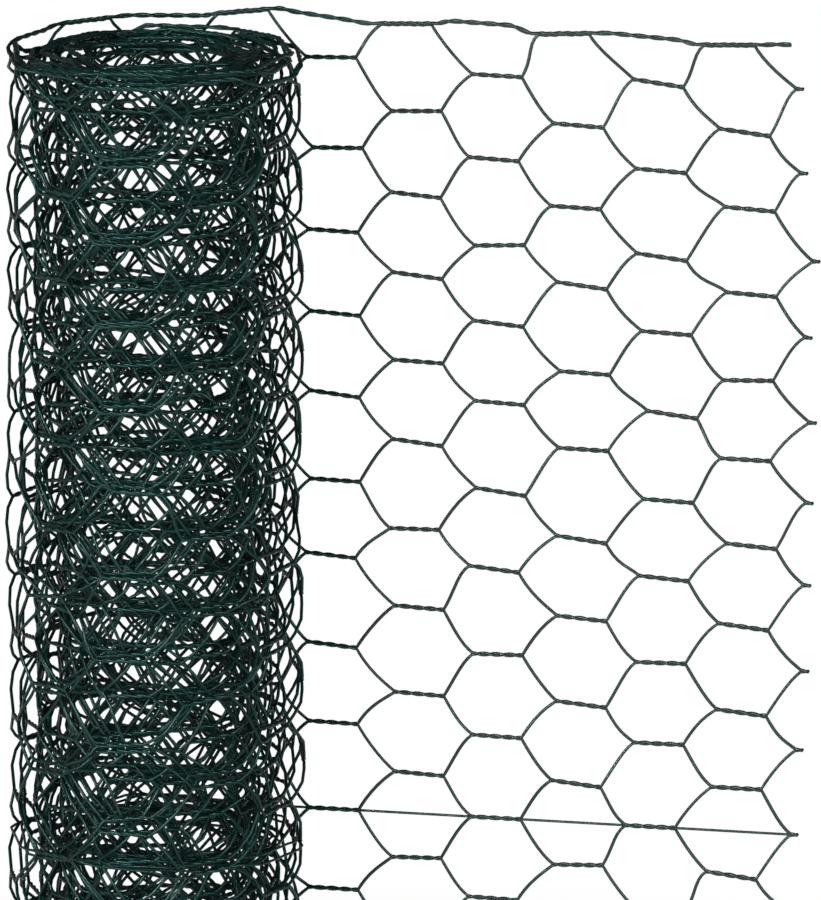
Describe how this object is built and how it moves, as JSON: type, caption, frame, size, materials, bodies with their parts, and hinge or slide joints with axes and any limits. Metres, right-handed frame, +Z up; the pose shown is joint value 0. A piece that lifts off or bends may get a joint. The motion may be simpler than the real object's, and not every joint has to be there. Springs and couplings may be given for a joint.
{
  "type": "roll of chicken wire",
  "caption": "Standing roll of green coated hexagonal wire netting with an open core, its outermost turn unrolled sideways as a flat single-layer sheet with a freshly cut free edge.",
  "frame": {"origin": "centre of the roll's bore at its lower end, on the floor that the roll stands on", "axes": "+Z up along the roll's axis; the unrolled stretch leaves the roll's +Y side and runs towards +X"},
  "size_m": [0.2435, 0.093, 0.5],
  "materials": {
    "netting": "dark green plastic coat over steel wire, satin",
    "edge_wire": "dark green plastic coat over steel wire, satin"
  },
  "bodies": {
    "root": {"wound_netting": "netting", "unrolled_netting": "netting", "top_selvedge_wire": "edge_wire", "bottom_selvedge_wire": "edge_wire", "line_wire": "edge_wire"}
  },
  "joints": []
}
